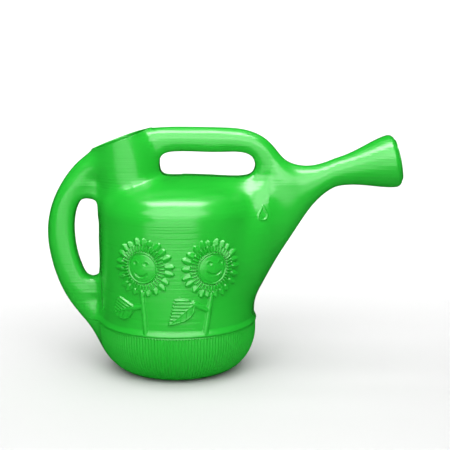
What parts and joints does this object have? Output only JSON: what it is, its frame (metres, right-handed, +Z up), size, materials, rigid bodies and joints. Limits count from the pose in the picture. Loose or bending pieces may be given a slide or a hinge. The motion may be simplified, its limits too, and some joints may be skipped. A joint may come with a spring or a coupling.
{
  "type": "watering can",
  "caption": "Round plastic watering can with a slanted filling mouth, a rear handle, a carrying handle over the tank and a flared spout with a pull-off sprinkler rose.",
  "frame": {"origin": "middle of the resting face, on the tank's axis", "axes": "+X runs towards the spout, +Z is up, and the can is symmetric about the plane Y = 0"},
  "size_m": [0.4513, 0.2032, 0.3129],
  "materials": {
    "body_green": "glossy moulded polyethylene",
    "rose_green": "glossy moulded polyethylene"
  },
  "bodies": {
    "can": {"can_body": "body_green"},
    "rose": {"sprinkler_rose": "rose_green"}
  },
  "joints": [
    {"name": "rose_pull", "type": "slide", "parent": "can", "child": "rose", "axis": [0.9803, 0, 0.1977], "range_m": [0, 0.045]}
  ]
}
